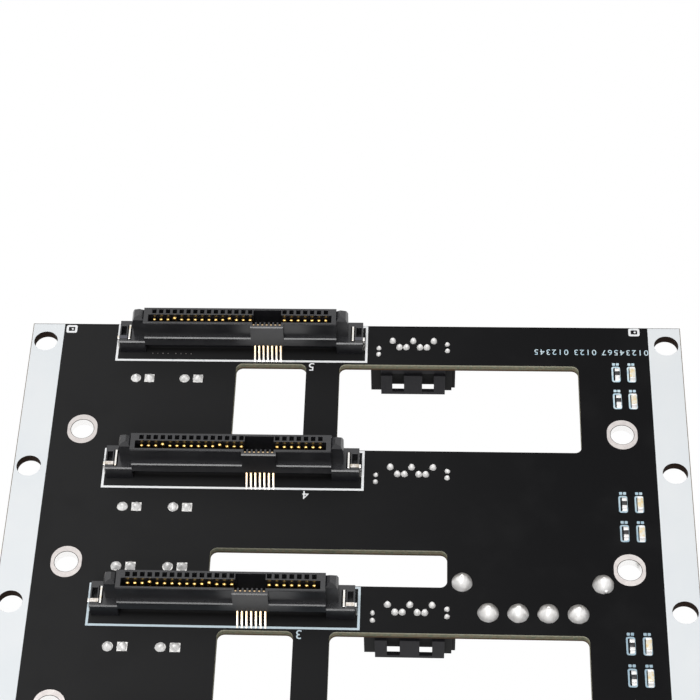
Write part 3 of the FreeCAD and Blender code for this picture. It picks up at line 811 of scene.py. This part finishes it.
# ---------------------------------------------------------------------------
# Vias: two rows of four tinned dots on the board before the far receptacle, in
# the shade of its shelf.
# ---------------------------------------------------------------------------
via_rows = (6.1 * MM, 10.44 * MM)
via_row_count = 4
via_pitch = 0.95 * MM
via_radius = 0.11 * MM
via_gap = 0.2 * MM
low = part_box("drive_receptacle_5")[0]
vias = [circle(low[0] + row + n * via_pitch, low[1] - via_gap, via_radius, 12)
        for row in via_rows for n in range(via_row_count)]
finish_piece("via_caps", flat_mesh("vias", vias, board_top + ink_lift, ink_thick), pad_tin)

# ---------------------------------------------------------------------------
# Lamps and their resistors: two of each a bay, inside printed boxes, with the
# bright solder of their ends showing before and behind the body.
# ---------------------------------------------------------------------------
chip_outline = (1.56 * MM, 3.55 * MM)
chip_shift = 0.06 * MM
chip_line = 0.3 * MM
chip_round = (0.4 * MM, 0.22 * MM)
chip_bevel = 0.08 * MM
end_inset = 0.02 * MM
end_drop = 0.04 * MM
fillet_length = 0.42 * MM
fillet_lap = 0.03 * MM
fillet_inset = 0.06 * MM
fillet_drop = 0.12 * MM
dash_offset = 0.34 * MM
dash_half = 0.27 * MM
dash_y = (0.25 * MM, 0.8 * MM)
dash_round = 0.12 * MM
resistor_black = Finish("resistor_glaze", (0.02, 0.02, 0.022), 0.35)
resistor_black.roughness(resistor_black.noise(0.3 * MM) * 0.2 + 0.25)
lamp_resin = Finish("cream_lamp_resin", (0.86, 0.80, 0.66), 0.3, Coat_Weight=0.4)
lamp_resin.color(lamp_resin.mix(lamp_resin.noise(0.6 * MM).fade(0.4, 0.7), (0.88, 0.84, 0.74),
                                (0.90, 0.70, 0.34)))


def add_block(maker, x, y, z, bevel):
    """Adds a small block between limits, with rounded edges."""
    centre = Vector(((x[0] + x[1]) / 2, (y[0] + y[1]) / 2, (z[0] + z[1]) / 2))
    size = (x[1] - x[0], y[1] - y[0], z[1] - z[0], 1)
    made = bmesh.ops.create_cube(maker, size=1.0, matrix=Matrix.Translation(centre)
                                 @ Matrix.Diagonal(size))["verts"]
    edges = list({edge for vert in made for edge in vert.link_edges})
    bmesh.ops.bevel(maker, geom=edges, offset=bevel, offset_type="OFFSET", segments=2,
                    profile=0.5, affect="EDGES", material=-1, clamp_overlap=True)


def add_fillet(maker, x, chip_y, pad_y, z):
    """Adds the solder wedge that runs from a chip's end down to its pad."""
    bend = chip_y + (pad_y - chip_y) * 0.45
    outline = [(chip_y, z[0]), (pad_y, z[0]), (bend, z[0] + (z[1] - z[0]) * 0.3), (chip_y, z[1])]
    face = maker.faces.new([maker.verts.new((x[0], y, level)) for y, level in outline])
    moved = bmesh.ops.extrude_face_region(maker, geom=[face])["geom"]
    verts = [item for item in moved if isinstance(item, bmesh.types.BMVert)]
    bmesh.ops.translate(maker, vec=(x[1] - x[0], 0, 0), verts=verts)


for bay in bays:
    for node, name, finish, slot, shift, end_length in (
            ("status_lamps_", "lamp_bodies_", lamp_resin, "lamp_body",
             (0.14 * MM, 0.04 * MM), 0.42 * MM),
            ("lamp_resistors_", "resistor_bodies_", resistor_black, "resistor_body",
             (0.16 * MM, 0.16 * MM), 0.62 * MM)):
        body = bmesh.new()
        ends = bmesh.new()
        outlines = []
        for low, high in loose_solids(node + bay):
            middle = (low + high) / 2
            low.x += shift[0]
            high.x += shift[1]
            add_block(body, (low.x, high.x), (low.y + end_length, high.y - end_length),
                      (low.z, high.z), chip_bevel)
            for y in ((low.y, low.y + end_length), (high.y - end_length, high.y)):
                add_block(ends, (low.x + end_inset, high.x - end_inset), y,
                          (low.z, high.z - end_drop), chip_bevel)
            for chip_y, step in ((low.y + fillet_lap, -1), (high.y - fillet_lap, 1)):
                add_fillet(ends, (low.x + fillet_inset, high.x - fillet_inset), chip_y,
                           chip_y + step * fillet_length, (low.z, high.z - fillet_drop))
            half_x, half_y = chip_outline[0] / 2, chip_outline[1] / 2
            x = (middle.x - half_x - chip_shift, middle.x + half_x - chip_shift)
            y = (middle.y - half_y, middle.y + half_y)
            inner = [(a + chip_line, b - chip_line) for a, b in (x, y)]
            outlines += [rectangle(x, y, chip_round[0]), rectangle(*inner, chip_round[1])]
            for side in (-1, 1):
                dash_x = x[0] + half_x + side * dash_offset
                outlines.append(rectangle((dash_x - dash_half, dash_x + dash_half),
                                          (y[1] + dash_y[0], y[1] + dash_y[1]), dash_round))
        finish_piece(name + bay, mesh_from(body, "body"), finish, node + bay, smooth=40)
        finish_piece(name + "ends_" + bay, mesh_from(ends, "ends"), small_solder,
                     smooth=40)
        finish_piece(name + "print_" + bay, flat_mesh("print", outlines, board_top + ink_lift,
                                                      ink_thick), pale_ink)

# ---------------------------------------------------------------------------
# Power headers on the back: natural nylon shrouds lying on the board, with
# round brass pins and square pegs.
# ---------------------------------------------------------------------------
power_nylon = Finish("natural_nylon", (0.74, 0.72, 0.64), 0.4, Subsurface_Weight=0.1,
                     Subsurface_Scale=0.5 * MM)
power_grain = power_nylon.noise(1.2 * MM, 4.0)
power_nylon.color(power_nylon.mix(power_grain, (0.76, 0.74, 0.66), (0.68, 0.66, 0.57)))
power_nylon.bump(power_nylon.noise(0.3 * MM), 0.01 * MM)
brass = Finish("tinned_brass_pins", (0.80, 0.74, 0.58), 0.25, 1.0)
brass.roughness(brass.noise(0.7 * MM) * 0.25 + 0.15)
for bay in ("4", "2"):
    form = moulded_copy("power_header_" + bay, 0.12 * MM, 0.06 * MM)
    finish_piece("power_shroud_" + bay, form, power_nylon, "power_header_" + bay)
    form = moulded_copy("power_pins_" + bay, 0.05 * MM, 0.04 * MM)
    finish_piece("power_bars_" + bay, form, brass, "power_pins_" + bay, smooth=50)
    frame["nodes"]["power_pegs_" + bay].material_slots[0].material = lock_tin.material

# ---------------------------------------------------------------------------
# Capacitors on the back: aluminium cans in dark sleeves, with a groove rolled in
# near the board and a bare disc on the far end.
# ---------------------------------------------------------------------------
sleeve = Finish("dark_can_sleeve", (0.012, 0.014, 0.026), 0.3, Coat_Weight=0.3)
sleeve.roughness(sleeve.noise(1.5 * MM) * 0.2 + 0.22)
bare_can = Finish("bare_aluminium", (0.82, 0.82, 0.83), 0.35, 1.0)
bare_can.roughness(bare_can.noise(0.5 * MM) * 0.2 + 0.25)
can_steps = 28
can_scale = 0.985
can_round = 0.25 * MM
top_scale = 0.78
top_lift = 0.01 * MM
top_thick = 0.05 * MM
cans = bmesh.new()
tops = bmesh.new()
for low, high in loose_solids("electrolytic_capacitors"):
    middle = (low + high) / 2
    radius = (high.x - low.x) / 2 * can_scale
    depth = high.z - low.z
    profile = [(0.0, 0.0), (0.80, 0.0), (0.97, can_round / depth), (1.0, 0.06), (1.0, 0.78),
               (0.93, 0.82), (0.93, 0.85), (1.0, 0.89), (1.0, 0.97), (0.94, 1.0), (0.0, 1.0)]
    verts = [cans.verts.new((middle.x + r * radius, middle.y, low.z + h * depth))
             for r, h in profile]
    edges = [cans.edges.new(pair) for pair in zip(verts, verts[1:])]
    bmesh.ops.spin(cans, geom=verts + edges, cent=(middle.x, middle.y, 0), axis=(0, 0, 1),
                   angle=2 * math.pi, steps=can_steps, use_merge=True)
    spot = Matrix.Translation((middle.x, middle.y, low.z - top_lift))
    disc = bmesh.ops.create_circle(tops, cap_ends=True, segments=can_steps,
                                   radius=radius * top_scale, matrix=spot)["verts"]
    bmesh.ops.extrude_face_region(tops, geom=disc[0].link_faces[:])
    bmesh.ops.translate(tops, vec=(0, 0, top_thick), verts=disc)
bmesh.ops.remove_doubles(cans, verts=cans.verts, dist=weld)
finish_piece("capacitor_sleeves", mesh_from(cans, "sleeves"), sleeve,
             "electrolytic_capacitors", smooth=35)
finish_piece("capacitor_tops", mesh_from(tops, "tops"), bare_can, smooth=35)

# ---------------------------------------------------------------------------
# Studio: a pale floor under the board, a white surround seen only by the
# camera and in reflections, and soft lamps above, in front and to the left.
# ---------------------------------------------------------------------------
floor_size = 1.6
floor_drop = 0.2 * MM
floor_mesh = bpy.data.meshes.new("floor")
maker = bmesh.new()
bmesh.ops.create_grid(maker, x_segments=1, y_segments=1, size=floor_size / 2,
                      matrix=Matrix.Translation((0, 0, -floor_drop)))
maker.to_mesh(floor_mesh)
maker.free()
floor = bpy.data.objects.new("floor", floor_mesh)
bpy.context.scene.collection.objects.link(floor)


def backdrop(tree, lit):
    """Mixes what the lamps light with plain white for the camera and for reflections."""
    rays = tree.nodes.new("ShaderNodeLightPath")
    white = tree.nodes.new("ShaderNodeEmission")
    white.inputs["Strength"].default_value = 1.0
    seen = rays.outputs["Is Camera Ray"]
    for kind in ("Is Glossy Ray", "Is Transmission Ray"):
        either = tree.nodes.new("ShaderNodeMath")
        either.operation = "MAXIMUM"
        tree.links.new(seen, either.inputs[0])
        tree.links.new(rays.outputs[kind], either.inputs[1])
        seen = either.outputs[0]
    blend = tree.nodes.new("ShaderNodeMixShader")
    tree.links.new(seen, blend.inputs[0])
    tree.links.new(lit, blend.inputs[1])
    tree.links.new(white.outputs[0], blend.inputs[2])
    return blend.outputs[0]


floor_material = bpy.data.materials.new("pale_floor")
floor_material.use_nodes = True
floor_tree = floor_material.node_tree
floor_shader = floor_tree.nodes["Principled BSDF"]
floor_shader.inputs["Base Color"].default_value = (0.9, 0.9, 0.9, 1)
floor_shader.inputs["Roughness"].default_value = 0.9
floor_tree.links.new(backdrop(floor_tree, floor_shader.outputs[0]),
                     floor_tree.nodes["Material Output"].inputs["Surface"])
floor_mesh.materials.append(floor_material)

world = bpy.data.worlds.new("studio")
bpy.context.scene.world = world
world.use_nodes = True
world_light = world.node_tree.nodes["Background"]
world_light.inputs["Color"].default_value = (1, 1, 1, 1)
world_light.inputs["Strength"].default_value = 0.25
world.node_tree.links.new(backdrop(world.node_tree, world_light.outputs[0]),
                          world.node_tree.nodes["World Output"].inputs["Surface"])


def softbox(name, place, target, size, power):
    """Rectangular area lamp that faces a point."""
    lamp = bpy.data.lights.new(name, "AREA")
    lamp.shape = "RECTANGLE"
    lamp.size, lamp.size_y = size
    lamp.energy = power
    holder = bpy.data.objects.new(name, lamp)
    bpy.context.scene.collection.objects.link(holder)
    holder.location = place
    aim = Vector(target) - Vector(place)
    holder.rotation_euler = aim.to_track_quat("-Z", "Y").to_euler()


middle_point = (0, 0.02, board_top)
softbox("overhead", (0.0, 0.0, 0.60), middle_point, (0.3, 0.3), 1.9)
softbox("front", (-0.07, -0.45, 0.40), middle_point, (0.26, 0.19), 0.92)
softbox("left", (-0.42, 0.10, 0.35), middle_point, (0.25, 0.25), 0.35)

# ---------------------------------------------------------------------------
# Camera: stands in front of bay 1, well above the board, and looks down on the
# three far bays through a long lens.
# ---------------------------------------------------------------------------
camera_place = Vector((13.25 * MM, -189.79 * MM, board_top + 328.92 * MM))
camera_tilt = 37.176
camera_roll = 2.900
camera_heading = 2.884
sensor_width = 36.0
lens_per_sensor = 3.2
camera_shift = (0.1210, 0.0416)
camera = bpy.data.cameras.new("camera")
camera.sensor_width = sensor_width
camera.lens = sensor_width * lens_per_sensor
camera.shift_x, camera.shift_y = camera_shift
camera.clip_start = 0.01
camera_holder = bpy.data.objects.new("camera", camera)
bpy.context.scene.collection.objects.link(camera_holder)
camera_holder.location = camera_place
camera_holder.rotation_euler = [math.radians(a) for a in (camera_tilt, camera_roll,
                                                          camera_heading)]
bpy.context.scene.camera = camera_holder
bpy.context.scene.view_settings.view_transform = "Standard"
